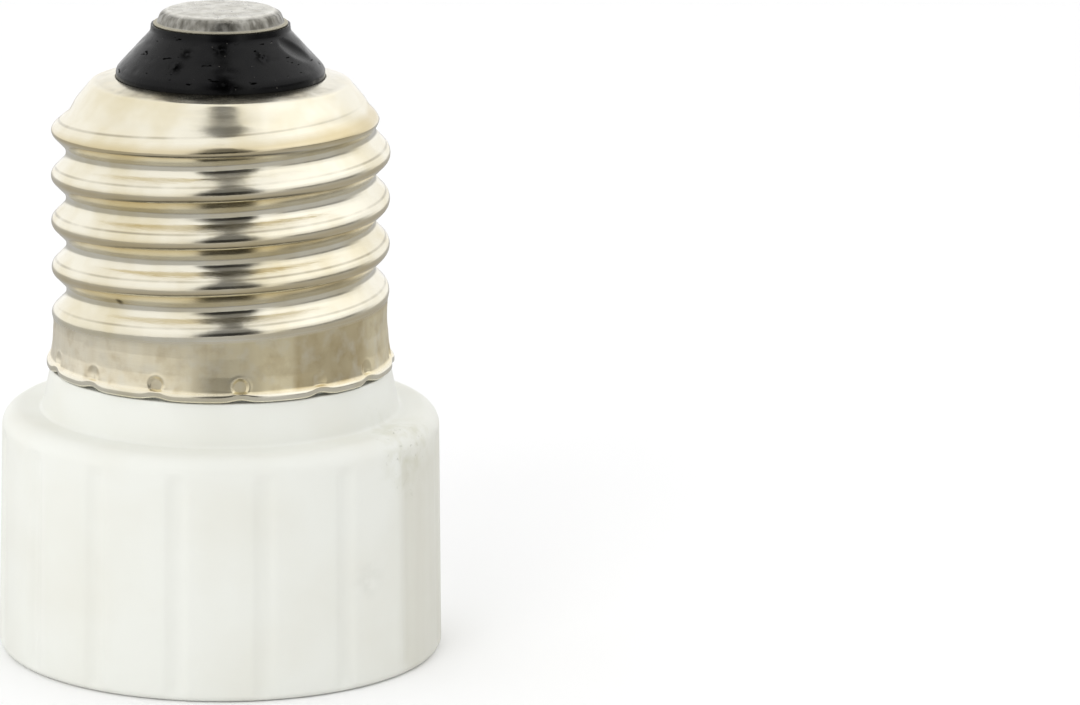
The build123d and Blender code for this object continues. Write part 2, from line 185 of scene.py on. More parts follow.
class Graph:
    """The node tree of a material or the world, with the values that its ramps are measured along."""

    def __init__(self, tree: bpy.types.NodeTree, space: str = "Object", unit: float = MM,
                 ease: str = "LINEAR") -> None:
        """Reads the place, the axes, the angle and the distance from the axis.

        Args:
            tree: the node tree.
            space: the coordinates that are read.
            unit: what lengths are counted in, in metres.
            ease: how a ramp rises.
        """
        self.tree, self.ease = tree, ease
        scaled = {0: self.add("ShaderNodeTexCoord").outputs[space], "Scale": 1.0 / unit}
        self.places = self.add("ShaderNodeVectorMath", scaled, operation="SCALE").outputs["Vector"]
        axes = self.add("ShaderNodeSeparateXYZ", {"Vector": self.places}).outputs
        self.values = {way: axes[way.value] for way in (Way.RIGHT, Way.BACK, Way.UP)}
        turn = {0: axes["Y"], 1: axes["X"]}
        self.values[Way.ANGLE] = self.add("ShaderNodeMath", turn, operation="ARCTAN2").outputs["Value"]
        level = {0: self.places, 1: (1.0, 1.0, 0.0)}
        level = self.add("ShaderNodeVectorMath", level, operation="MULTIPLY").outputs["Vector"]
        self.values[Way.OUT] = self.add("ShaderNodeVectorMath", {0: level}, operation="LENGTH").outputs["Value"]

    def add(self, kind: str, inputs: dict | None = None, **settings) -> bpy.types.Node:
        """Adds a node with its settings, and links or sets its inputs.

        Args:
            kind: the node's type name.
            inputs: a socket to link from, or a value to set, by input name or number.
            **settings: the node's own properties.

        Returns:
            The new node.
        """
        node = self.tree.nodes.new(kind)
        for key, value in settings.items():
            setattr(node, key, value)
        self.feed(node, inputs or {})
        return node

    def feed(self, node: bpy.types.Node, inputs: dict) -> None:
        """Links or sets a node's inputs.

        Args:
            node: the node.
            inputs: a socket to link from, or a value to set, by input name or number.
        """
        for key, value in inputs.items():
            if isinstance(value, bpy.types.NodeSocket):
                self.tree.links.new(value, node.inputs[key])
            else:
                node.inputs[key].default_value = value

    def pattern(self, patches: Patches) -> Mask:
        """Gives a mask of noise patches, spread over the values that they span.

        Args:
            patches: the patches.

        Returns:
            The mask's socket.
        """
        scale = tuple(factor / patches.size for factor in patches.lay.value)
        place = {"Vector": self.places, "Scale": scale, "Location": (patches.shift,) * 3}
        place = self.add("ShaderNodeMapping", place).outputs["Vector"]
        noise = {"Vector": place, "Scale": 1.0, "Detail": patches.detail}
        noise = self.add("ShaderNodeTexNoise", noise).outputs["Fac"]
        mask = {"Value": noise, "From Min": patches.low, "From Max": patches.high}
        mask |= {"To Min": patches.span[0], "To Max": patches.span[1]}
        return self.add("ShaderNodeMapRange", mask).outputs["Result"]

    def near(self, mark: Mark) -> Mask:
        """Gives a mask that is 1 at a mark's place and eases to 0 round it.

        Args:
            mark: the mark.

        Returns:
            The mask's socket.
        """
        apart = self.add("ShaderNodeVectorMath", {0: self.places, 1: mark.place}, operation="DISTANCE")
        fade = {"Value": apart.outputs["Value"], "From Min": mark.reach, "From Max": 0.0}
        return self.add("ShaderNodeMapRange", fade, interpolation_type="SMOOTHSTEP").outputs["Result"]

    def zone(self, ramps: Sequence[Ramp], *others: Mask | float) -> Mask:
        """Masks the zone where all ramps and other masks meet.

        Args:
            ramps: the zone's edges.
            *others: masks, or a share, that the zone is multiplied by.

        Returns:
            The mask's socket.
        """
        parts = list(others)
        for ramp in ramps:
            rise = {"Value": self.values[ramp.way], "From Min": ramp.start, "From Max": ramp.end}
            rise["To Min"] = ramp.low
            parts.append(self.add("ShaderNodeMapRange", rise, interpolation_type=self.ease).outputs["Result"])
        mask = parts[0]
        for part in parts[1:]:
            mask = self.add("ShaderNodeMath", {0: mask, 1: part}, operation="MULTIPLY").outputs["Value"]
        return mask


@dataclass(frozen=True)
class Finish:
    """A finish: its body colour, the layers over it, its polish and its relief, the lowest first."""

    name: str
    body: str
    layers: tuple[Layer, ...]
    polish: Patches
    grains: tuple[Grain, ...] = ()
    metallic: float = 0.0
    ior: float | None = None
    dull: float = 0.0
    dull_ramps: tuple[Ramp, ...] = ()

    def material(self) -> bpy.types.Material:
        """Builds the material.

        Returns:
            The material.
        """
        material = bpy.data.materials.new(self.name)
        material.use_nodes = True
        graph = Graph(material.node_tree)
        graph.feed(graph.tree.nodes["Principled BSDF"], self.inputs(graph))
        return material

    def inputs(self, graph: Graph) -> dict:
        """Builds what the shader's inputs read.

        Args:
            graph: the material's graph.

        Returns:
            A socket or a value by input name.
        """
        colour = linear(self.body)
        for layer in self.layers:
            masks = [] if layer.patches is None else [graph.pattern(layer.patches)]
            masks += [] if layer.mark is None else [graph.near(layer.mark)]
            colours = {0: graph.zone(layer.ramps, layer.share, *masks), 6: colour, 7: linear(layer.colour)}
            colour = graph.add("ShaderNodeMix", colours, data_type="RGBA").outputs[2]
        rough = graph.pattern(self.polish)
        if self.dull_ramps:
            dulled = {0: graph.zone(self.dull_ramps), 2: rough, 3: self.dull}
            rough = graph.add("ShaderNodeMix", dulled, data_type="FLOAT").outputs[0]
        inputs = {"Base Color": colour, "Roughness": rough, "Metallic": self.metallic}
        if self.ior is not None:
            inputs["IOR"] = self.ior
        for grain in self.grains:
            bump = {"Height": graph.pattern(grain.patches), "Distance": grain.depth * MM}
            bump["Strength"] = grain.strength
            if "Normal" in inputs:
                bump["Normal"] = inputs["Normal"]
            inputs["Normal"] = graph.add("ShaderNodeBump", bump).outputs["Normal"]
        return inputs


@dataclass(frozen=True)
class MouldedWhite(Finish):
    """White urea plastic, compression moulded: satin, very even, with handling dirt in its scuffs, and painted
    shade on its right side.
    """

    name: str = "moulded_white_urea"
    body: str = "#ECEDE6"
    dirt: str = "#8C8B78"
    shoulder: Mark = Mark((14.9, -8.7, 18.0), 5.5)
    smudge: Mark = Mark((11.35, -13.06, 8.6), 2.2)
    # Handling dirt and painted shade on the right: the panels right of the third flute from the front.
    handled_and_shaded_side: tuple[Ramp, ...] = (
        Ramp(Way.ANGLE, math.radians(-38.0), math.radians(-33.0)),
        Ramp(Way.ANGLE, math.radians(35.0), math.radians(5.0)),
        Ramp(Way.UP, 19.0, 16.0),
    )
    # In order: warm clouds, scuffs and specks at the shoulder, the smudge, and the right side's dirt and painted
    # shade.
    layers: tuple[Layer, ...] = (
        Layer("#E8E8DF", patches=Patches(9.0, 0.42, 0.7)),
        Layer("#C9C8B0", 0.6, Patches(1.1, 0.42, 0.68), shoulder),
        Layer(dirt, 0.6, Patches(0.45, 0.64, 0.74), shoulder),
        Layer(dirt, 0.18, Patches(1.0, 0.3, 0.7), smudge),
        # Handling dirt and painted shade on the right side.
        Layer("#CCC9BA", 0.55, Patches(3.0, 0.3, 0.7, Lay.UPRIGHT, span=(0.6, 1.0)), ramps=handled_and_shaded_side),
    )
    polish: Patches = Patches(3.0, 0.35, 0.65, span=(0.36, 0.48))
    # The moulding grain is about 0.05 mm in life; it is drawn at 0.25 mm so that it shows.
    grains: tuple[Grain, ...] = (Grain(Patches(0.25, 0.3, 0.7), 0.004),)
    ior: float = 1.52


@dataclass(frozen=True)
class NickelPlate(Finish):
    """Nickel-plated brass sheet, drawn and thread-rolled: warm bright metal, fine lines round it, old stains,
    painted shade and reflections.
    """

    name: str = "nickel_plated_brass"
    body: str = "#ECE7D6"
    # Brown for streaks and mottling, and for painted dark reflection on the skirt.
    stain_and_reflection: str = "#B39C6C"
    # A dark brown for the nick and the rolling line, and for painted shade round the insulator.
    grime_and_shade: str = "#54492F"
    pitch: float = 3.629
    # The bands' heights at the right side: the painted reflection just under each crest, and the rolling wheel's
    # line.
    reflection_band_height: float = 28.05
    line_height: float = 29.12
    # The skirt's dull face ends at the lowest crest: its height from the left to the right side in front, and
    # the turn behind in which it falls back.
    crest_climb: Span = (26.45, 28.1)
    fall_turn: float = 0.7
    fall: float = 1.9
    skirt: tuple[Ramp, ...] = (Ramp(Way.SKIRT, 0.0, 0.3), Ramp(Way.UP, 23.05, 23.3))
    thread: tuple[Ramp, ...] = (Ramp(Way.UP, 27.3, 27.9), Ramp(Way.UP, 43.6, 42.8))
    # A brown patch of painted dark reflection on the skirt, right of the front, with a sharp left edge.
    reflection_patch_edges: tuple[Ramp, ...] = (
        Ramp(Way.RIGHT, 5.4, 5.9), Ramp(Way.RIGHT, 11.6, 10.6), Ramp(Way.BACK, 0.0, -1.0))
    # In order: warm clouds; on the skirt its pale tone, its warm right side darkened by painted reflection, the
    # brown patch of painted dark reflection, streaks, mottling and rubbed places; a nick; a golden band of
    # painted reflection just under each crest; the line that the rolling wheel left above each crest; and dirt
    # round the insulator with painted shade and dark reflection, most of it in front.
    layers: tuple[Layer, ...] = (
        Layer("#DED4B6", patches=Patches(5.0, 0.4, 0.68)),
        Layer("#F6EED8", ramps=skirt),
        # Warm tone, darker to the right: painted reflection of the dim right side.
        Layer("#E8DBB3", 0.8, ramps=skirt + (Ramp(Way.RIGHT, -11.0, 3.0),)),
        # Painted dark reflection with a sharp left edge, in brown.
        Layer(stain_and_reflection, 0.55, Patches(2.4, 0.3, 0.7, detail=1.0, span=(0.6, 1.0)), ramps=skirt + reflection_patch_edges),
        Layer(stain_and_reflection, 0.2, Patches(1.1, 0.4, 0.75, Lay.UPRIGHT, 2.0, 3.0), ramps=skirt),
        Layer(stain_and_reflection, 0.3, Patches(1.3, 0.5, 0.7, shift=5.0), ramps=skirt),
        Layer(body, 0.6, Patches(1.4, 0.5, 0.75, shift=7.0), ramps=skirt),
        Layer(grime_and_shade, mark=Mark((-7.72, -9.55, 29.53), 0.5)),
        # Painted reflection: a golden band just under each crest.
        Layer("#CBB889", 0.6, ramps=(Ramp(Way.WORN, 0.2, 0.06),) + thread),
        Layer(grime_and_shade, 0.5, Patches(5.0, 0.3, 0.6), ramps=(Ramp(Way.LINE, 0.03, 0.006),) + thread),
        # Dirt and painted shade with dark reflection under the insulator, most of it in front.
        Layer(grime_and_shade, 1.0, Patches(1.2, 0.3, 0.6, span=(0.2, 0.6)),
              ramps=(Ramp(Way.OUT, 10.0, 9.5), Ramp(Way.BACK, -3.0, -7.0, 0.25))),
    )
    polish: Patches = Patches(0.5, 0.35, 0.7, Lay.AROUND, span=(0.12, 0.26))
    # Rolling lines are a few hundredths of a millimetre wide; they are drawn at 0.12 mm so that they show.
    grains: tuple[Grain, ...] = (
        Grain(Patches(0.12, 0.35, 0.65, Lay.AROUND, 2.0), 0.0025, 0.6),
        Grain(Patches(1.6, 0.3, 0.7, detail=2.0), 0.008),
    )
    metallic: float = 1.0
    dull: float = 0.36
    dull_ramps: tuple[Ramp, ...] = skirt

    def inputs(self, graph: Graph) -> dict:
        """Builds what the shader's inputs read, with the values that follow the thread.

        Args:
            graph: the material's graph.

        Returns:
            A socket or a value by input name.
        """
        graph.values[Way.SKIRT] = self.below_crest(graph)
        graph.values[Way.WORN] = self.from_band(graph, self.reflection_band_height)
        graph.values[Way.LINE] = self.from_band(graph, self.line_height)
        return super().inputs(graph)

    def below_crest(self, graph: Graph) -> Mask:
        """Measures how far a place lies below the lowest crest of the thread.

        Args:
            graph: the material's graph.

        Returns:
            The depth's socket.
        """
        parts = []
        for start, end, span in ((-math.pi, 0.0, self.crest_climb), (0.0, self.fall_turn, (0.0, -self.fall))):
            part = {"Value": graph.values[Way.ANGLE], "From Min": start, "From Max": end}
            part |= {"To Min": span[0], "To Max": span[1]}
            parts.append(graph.add("ShaderNodeMapRange", part).outputs["Result"])
        edge = graph.add("ShaderNodeMath", {0: parts[0], 1: parts[1]}, operation="ADD").outputs["Value"]
        below = {0: edge, 1: graph.values[Way.UP]}
        return graph.add("ShaderNodeMath", below, operation="SUBTRACT").outputs["Value"]

    def from_band(self, graph: Graph, height: float) -> Mask:
        """Measures how far a place lies from the middle of a band that climbs with the thread.

        Args:
            graph: the material's graph.
            height: the band's height at the right side of the piece.

        Returns:
            The distance's socket, in pitches.
        """
        start = {0: graph.values[Way.ANGLE], 1: -1.0 / TURN, 2: -height / self.pitch}
        start = graph.add("ShaderNodeMath", start, operation="MULTIPLY_ADD").outputs["Value"]
        turns = {0: graph.values[Way.UP], 1: 1.0 / self.pitch, 2: start}
        turns = graph.add("ShaderNodeMath", turns, operation="MULTIPLY_ADD").outputs["Value"]
        return graph.add("ShaderNodeMath", {0: turns, 1: 0.5}, operation="PINGPONG").outputs["Value"]


@dataclass(frozen=True)
class BlackMoulding(Finish):
    """Black phenolic moulding: nearly black with a low gloss, dull chips, and pale dust in its nicks."""

    name: str = "black_phenolic"
    body: str = "#070708"
    # In order: rubbed patches, and specks of dust.
    layers: tuple[Layer, ...] = (
        Layer("#0E0E0E", patches=Patches(1.5, 0.42, 0.7)),
        Layer("#6E6B64", 0.65, Patches(0.22, 0.77, 0.8, detail=1.0)),
    )
    polish: Patches = Patches(0.9, 0.35, 0.65, span=(0.16, 0.3))
    grains: tuple[Grain, ...] = (Grain(Patches(0.9, 0.3, 0.7), 0.012),)
    # Phenolic has an IOR near 1.6; the old surface shines less, and the value is matched to that.
    ior: float = 1.27
    chip: str = "#020202"
    chips: Patches = Patches(0.3, 0.67, 0.7, Lay.BROAD, shift=2.0)
    # The gloss off and on the chips.
    gloss: Span = (0.5, 0.02)
    # Larger blotches on the front, with ragged outlines.
    ragged: Patches = Patches(0.5, 0.4, 0.5, shift=4.0)
    blotches: tuple[Mark, ...] = (
        Mark((0.0, -5.9, 48.3), 1.0),
        Mark((0.3, -8.0, 45.9), 1.3),
        Mark((-3.4, -6.2, 47.0), 0.9),
        Mark((3.1, -5.6, 47.7), 0.9),
        Mark((-2.6, -5.6, 47.9), 0.8),
    )

    def inputs(self, graph: Graph) -> dict:
        """Builds what the shader's inputs read, with the chips over the other layers.

        Args:
            graph: the material's graph.

        Returns:
            A socket or a value by input name.
        """
        inputs = super().inputs(graph)
        chips, ragged = graph.pattern(self.chips), graph.pattern(self.ragged)
        for mark in self.blotches:
            both = {0: chips, 1: graph.zone((), graph.near(mark), ragged)}
            chips = graph.add("ShaderNodeMath", both, operation="MAXIMUM").outputs["Value"]
        colours = {0: chips, 6: inputs["Base Color"], 7: linear(self.chip)}
        inputs["Base Color"] = graph.add("ShaderNodeMix", colours, data_type="RGBA").outputs[2]
        gloss = {"Value": chips, "To Min": self.gloss[0], "To Max": self.gloss[1]}
        inputs["Specular IOR Level"] = graph.add("ShaderNodeMapRange", gloss).outputs["Result"]
        return inputs


@dataclass(frozen=True)
class TinnedContact(Finish):
    """Tinned brass button: grey mottled tin with scratches on top, bare brass at its thin edge."""

    name: str = "tinned_brass"
    body: str = "#E2E0D8"
    edge: tuple[Ramp, ...] = (Ramp(Way.UP, 49.6, 49.5),)
    slope: tuple[Ramp, ...] = (Ramp(Way.OUT, 4.15, 4.5), Ramp(Way.UP, 49.5, 49.6))
    # In order: dull mottling, the brass edge, and a dark band of painted shade, streaked, over the slope.
    layers: tuple[Layer, ...] = (
        Layer("#C2BFB5", patches=Patches(1.1, 0.38, 0.68)),
        Layer("#C4BFAE", ramps=edge),
        Layer("#5C5951", 1.0, Patches(0.5, 0.35, 0.65, Lay.UPRIGHT, span=(0.55, 0.95)), ramps=slope),
    )
    polish: Patches = Patches(0.6, 0.35, 0.65, span=(0.25, 0.5))
    grains: tuple[Grain, ...] = (
        Grain(Patches(1.3, 0.3, 0.7), 0.03),
        Grain(Patches(0.2, 0.45, 0.7, Lay.UPRIGHT, 1.0), 0.004),
    )
    metallic: float = 1.0
    dull: float = 0.7
    dull_ramps: tuple[Ramp, ...] = edge


@dataclass(frozen=True)
class PressedCeramic(Finish):
    """Unglazed steatite, dry pressed and fired: matt cream with soft clouds, a fine even grain, few specks."""

    name: str = "pressed_steatite"
    body: str = "#E8E4D0"
    layers: tuple[Layer, ...] = (
        Layer("#DAD3BA", patches=Patches(4.0, 0.4, 0.7)),
        Layer("#9C927A", patches=Patches(0.3, 0.79, 0.82, detail=1.0)),
    )
    polish: Patches = Patches(2.0, 0.35, 0.65, span=(0.62, 0.78))
    # The pressed grain is near 0.03 mm; it is drawn at 0.15 mm so that it shows.
    grains: tuple[Grain, ...] = (Grain(Patches(0.15, 0.3, 0.7), 0.006, 0.6),)
    ior: float = 1.55


@dataclass(frozen=True)
class SiliconeSleeve(Finish):
    """Extruded silicone tube: soft milky white, faintly dusty."""

    name: str = "silicone_tube"
    body: str = "#DDDCD4"
    layers: tuple[Layer, ...] = (Layer("#C8C5B8", patches=Patches(1.5, 0.4, 0.7)),)
    polish: Patches = Patches(1.0, 0.35, 0.65, span=(0.45, 0.6))
    ior: float = 1.41


class Metal(Enum):
    """The small metal parts' finishes: each one's name, its colour, the tarnish on it and its roughness."""

    BRASS = ("bare_brass", "#CDAA5C", "#9A7A3C", (0.2, 0.38))
    ZINC = ("zinc_plated_steel", "#C9CBCB", "#A3A49F", (0.22, 0.4))
    COPPER = ("bare_copper", "#C58257", "#8E5636", (0.25, 0.4))
    SOLDER = ("tin_solder", "#B4B5B4", "#8E8F8E", (0.3, 0.45))

    def material(self) -> bpy.types.Material:
        """Builds the material: bright metal with tarnished patches and fine rub marks.

        Returns:
            The material.
        """
        name, bright, tarnish, roughness = self.value
        layers = (Layer(tarnish, patches=Patches(1.2, 0.42, 0.7)),)
        polish = Patches(0.5, 0.35, 0.65, span=roughness)
        rub_marks = (Grain(Patches(0.2, 0.3, 0.7), 0.006),)
        return Finish(name, bright, layers, polish, rub_marks, metallic=1.0).material()


@dataclass
class Spots:
    """A round piece's vertices: angles in radians to the right of the front, radii and heights."""

    angle: np.ndarray
    radius: np.ndarray
    height: np.ndarray


def deselect_all() -> None:
    """Leaves edit mode and deselects everything, because an operator acts on all that is selected."""
    if bpy.context.mode != "OBJECT":
        bpy.ops.object.mode_set(mode="OBJECT")
    bpy.ops.object.select_all(action="DESELECT")


def activate(piece: bpy.types.Object) -> None:
    """Makes a piece the only selected and active object.

    Args:
        piece: the piece.
    """
    deselect_all()
    piece.select_set(True)
    bpy.context.view_layer.objects.active = piece


def rounded(corners: Sequence[Corner], steps: int = 6) -> list[Point]:
    """Rounds the corners of a section.

    Args:
        corners: each corner's radius from the axis, its height and the rounding there.
        steps: how many steps each rounding gets.

    Returns:
        The section's points.
    """
    points: list[Point] = []
    for index, (x, z, size) in enumerate(corners):
        if size == 0 or index in (0, len(corners) - 1):
            points.append((x, z))
            continue
        here = np.array((x, z))
        back = np.array(corners[index - 1][:2]) - here
        ahead = np.array(corners[index + 1][:2]) - here
        back, ahead = back / np.linalg.norm(back), ahead / np.linalg.norm(ahead)
        half = math.acos(float(np.clip(back @ ahead, -1, 1))) / 2
        middle = (back + ahead) / np.linalg.norm(back + ahead)
        centre = here + middle * size / math.sin(half)
        first = here + back * size / math.tan(half) - centre
        last = here + ahead * size / math.tan(half) - centre
        for step in range(steps + 1):
            turned_to = first + (last - first) * step / steps
            point = centre + turned_to / np.linalg.norm(turned_to) * size
            points.append((float(point[0]), float(point[1])))
    return points


def filled(points: Sequence[Point], gap: float) -> list[Point]:
    """Adds points along a section so that no two are further apart than the gap.

    Args:
        points: the section's points.
        gap: the widest gap that stays.

    Returns:
        The section with the added points.
    """
    result = [points[0]]
    for start, end in zip(points, points[1:]):
        count = max(1, math.ceil(math.dist(start, end) / gap))
        for step in range(1, count + 1):
            part = step / count
            result.append((start[0] + (end[0] - start[0]) * part, start[1] + (end[1] - start[1]) * part))
    return result


def grow_rings(start: Point, points: Sequence[Point]) -> None:
    """Extrudes the selected ring along a section, in edit mode. A point on the axis closes the piece.

    Args:
        start: the selected ring's radius and height.
        points: the next rings' radii and heights.
    """
    radius, height = start
    for next_radius, next_height in points:
        lift = (0.0, 0.0, (next_height - height) * MM)
        bpy.ops.mesh.extrude_edges_move(TRANSFORM_OT_translate={"value": lift})
        if next_radius == 0:
            bpy.ops.mesh.merge(type="CENTER")
            return
        factor = next_radius / radius
        bpy.ops.transform.resize(value=(factor, factor, 1.0), center_override=(0.0, 0.0, next_height * MM))
        radius, height = next_radius, next_height


def turned(name: str, points: Sequence[Point], columns: int) -> bpy.types.Object:
    """Turns a section about the axis, ring by ring, and leaves the piece in edit mode on its last ring.

    Args:
        name: the piece's name.
        points: the section's radii and heights.
        columns: how many columns the piece has round it.

    Returns:
        The piece.
    """
    deselect_all()
    radius, height = points[0]
    bpy.ops.mesh.primitive_circle_add(vertices=columns, radius=radius * MM, location=(0.0, 0.0, height * MM))
    piece = bpy.context.object
    piece.name = name
    bpy.ops.object.transform_apply(location=True, rotation=True, scale=True)
    bpy.ops.object.mode_set(mode="EDIT")
    bpy.ops.mesh.select_all(action="SELECT")
    grow_rings(points[0], points[1:])
    return piece


def close_seams(piece: bpy.types.Object) -> None:
    """Merges the doubles of a piece, turns its faces outwards and leaves edit mode.

    Args:
        piece: the piece.
    """
    activate(piece)
    bpy.ops.object.mode_set(mode="EDIT")
    bpy.ops.mesh.select_all(action="SELECT")
    bpy.ops.mesh.remove_doubles(threshold=MERGE_GAP * MM)
    bpy.ops.mesh.normals_make_consistent(inside=False)
    bpy.ops.object.mode_set(mode="OBJECT")


def shade(angle: float) -> None:
    """Shades the active piece smooth, apart from edges that turn by more than the angle in degrees."""
    bpy.ops.object.shade_smooth_by_angle(angle=math.radians(angle))


def read_spots(piece: bpy.types.Object) -> Spots:
    """Reads a round piece's vertices in object mode.

    Args:
        piece: the piece.

    Returns:
        The vertices' angles, radii and heights.
    """
    flat = np.empty(len(piece.data.vertices) * 3, dtype=np.float64)
    piece.data.vertices.foreach_get("co", flat)
    x, y, z = (flat.reshape(-1, 3) / MM).T
    return Spots(np.arctan2(x, -y), np.hypot(x, y), z)


def select_where(piece: bpy.types.Object, chosen: Callable[[Spots], np.ndarray]) -> None:
    """Selects vertices by their place, with the edges and faces between them, and goes to edit mode.

    Args:
        piece: the piece whose vertices are selected.
        chosen: tells which vertices are wanted.
    """
    activate(piece)
    wanted = chosen(read_spots(piece))
    bpy.ops.object.mode_set(mode="EDIT")
    bpy.ops.mesh.select_mode(type="VERT")
    bpy.ops.mesh.select_all(action="DESELECT")
    bpy.ops.object.mode_set(mode="OBJECT")
    piece.data.vertices.foreach_set("select", wanted)
    bpy.ops.object.mode_set(mode="EDIT")
    bpy.ops.mesh.select_mode(type="EDGE")


def reshape(piece: bpy.types.Object, rule: Callable[[Spots], Moved]) -> None:
    """Moves every vertex of a round piece by one rule.

    Args:
        piece: the piece, which is left in object mode.
        rule: gives the vertices' new radii and heights.
    """
    activate(piece)
    spots = read_spots(piece)
    radius, height = rule(spots)
    moved = np.column_stack((radius * np.sin(spots.angle), -radius * np.cos(spots.angle), height)) * MM
    piece.data.vertices.foreach_set("co", moved.ravel())
    piece.data.update()


def softened(node: str, name: str, width: float) -> bpy.types.Object:
    """Copies a node's solid and breaks its sharp edges, as pressing, moulding or tumbling does.

    Args:
        node: the node that is copied.
        name: the new piece's name.
        width: the width of the broken edge.

    Returns:
        The piece.
    """
    activate(frame["nodes"][node])
    bpy.ops.object.duplicate()
    bpy.ops.object.parent_clear(type="CLEAR")
    piece = bpy.context.object
    piece.name = name
    for key in list(piece.keys()):
        del piece[key]
    bpy.ops.object.mode_set(mode="EDIT")
    bpy.ops.mesh.select_all(action="SELECT")
    bpy.ops.mesh.remove_doubles(threshold=MERGE_GAP * MM)
    bpy.ops.mesh.dissolve_limited(angle_limit=math.radians(FLAT_ANGLE))
    bpy.ops.object.mode_set(mode="OBJECT")
    bpy.ops.mesh.customdata_custom_splitnormals_clear()
    bevel = piece.modifiers.new("broken_edges", "BEVEL")
    bevel.width = width * MM
    bevel.segments = BEVEL_STEPS
    bevel.limit_method = "ANGLE"
    bevel.angle_limit = math.radians(BROKEN_ANGLE)
    bpy.ops.object.modifier_apply(modifier=bevel.name)
    shade(SOFT_ANGLE)
    return piece


def hand_over(piece: bpy.types.Object, node: str, finish: bpy.types.Material) -> None:
    """Gives a piece its finish and its place in the frame.

    Args:
        piece: the piece.
        node: the node that it stands for.
        finish: the material.
    """
    piece.data.materials.clear()
    piece.data.materials.append(finish)
    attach(piece, "root")
    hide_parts(node)
    LOG.info("%s stands for %s: %d faces, %s", piece.name, node, len(piece.data.polygons), finish.name)


def dress_node(node: str, finish: bpy.types.Material) -> None:
    """Gives a node that stays as it is its finish.

    Args:
        node: the node.
        finish: the material.
    """
    shown = frame["nodes"][node]
    shown.data.materials.clear()
    shown.data.materials.append(finish)
    LOG.info("%s stays as built: %s", node, finish.name)


@dataclass
class Casing:
    """The white casing: a fluted cup with a shoulder, a neck and the spigot that carries the cap."""

    rim_radius: float = 17.45
    rim_edge: float = 0.6
    shoulder_radius: float = 17.1
    shoulder_height: float = 19.1
    shoulder_edge: float = 1.4
    mouth_radius: float = 14.65
    mouth_edge: float = 0.35
    seam_height: float = 1.2
    bore_top_radius: float = 14.3
    roof_height: float = 17.2
    neck_foot_radius: float = 14.0
    neck_fillet: float = 0.35
    neck_top_radius: float = 13.3
    ledge_height: float = 22.4
    ledge_edge: float = 0.12
    spigot_radius: float = 12.59
    spigot_bore: float = 10.59
    spigot_top: float = 25.5
    lead_hole: float = 4.5
    # The flutes are pressed into the outside only. The spans say where they start and are full: inwards from
    # the rim's radius, and by height.
    flute_count: int = 16
    flute_half_width: float = 0.95
    flute_depth: float = 0.24
    flute_hollow: float = 1.25
    flute_reach: Span = (1.5, 0.6)
    flute_foot: Span = (0.1, 1.0)
    flute_top: Span = (17.8, 17.2)
    row_gap: float = 0.45
    columns: int = 512
    sharp: float = 35.0

    def build(self, finish: bpy.types.Material) -> None:
        """Builds the casing and hands it over.

        Args:
            finish: the casing's material.
        """
        outside = rounded([
            (self.mouth_radius, self.seam_height, 0),
            (self.mouth_radius, 0, self.mouth_edge),
            (self.rim_radius, 0, self.rim_edge),
            (self.shoulder_radius, self.shoulder_height, self.shoulder_edge),
            (self.neck_foot_radius, self.shoulder_height, self.neck_fillet),
            (self.neck_top_radius, self.ledge_height, self.ledge_edge),
            (self.spigot_radius, self.ledge_height, 0),
        ])
        inside = [
            (self.spigot_radius, self.spigot_top),
            (self.spigot_bore, self.spigot_top),
            (self.spigot_bore, self.shoulder_height),
            (self.lead_hole, self.shoulder_height),
            (self.lead_hole, self.roof_height),
            (self.bore_top_radius, self.roof_height),
            (self.mouth_radius, self.seam_height),
        ]
        piece = turned("casing_body", filled(outside, self.row_gap) + inside, self.columns)
        reshape(piece, self.flutes)
        close_seams(piece)
        shade(self.sharp)
        hand_over(piece, "casing", finish)

    def flutes(self, spots: Spots) -> Moved:
        """Presses the soft flutes into the outside.

        Args:
            spots: the casing's vertices.

        Returns:
            The new radii and heights.
        """
        share = TURN / self.flute_count
        across = (np.mod(spots.angle, share) - share / 2) * self.rim_radius
        dip = np.clip(1.0 - (across / self.flute_half_width) ** 2, 0.0, 1.0) ** self.flute_hollow
        outer = smooth(spots.radius, *(self.rim_radius - reach for reach in self.flute_reach))
        ends = smooth(spots.height, *self.flute_top) * smooth(spots.height, *self.flute_foot)
        return spots.radius - self.flute_depth * dip * outer * ends, spots.height


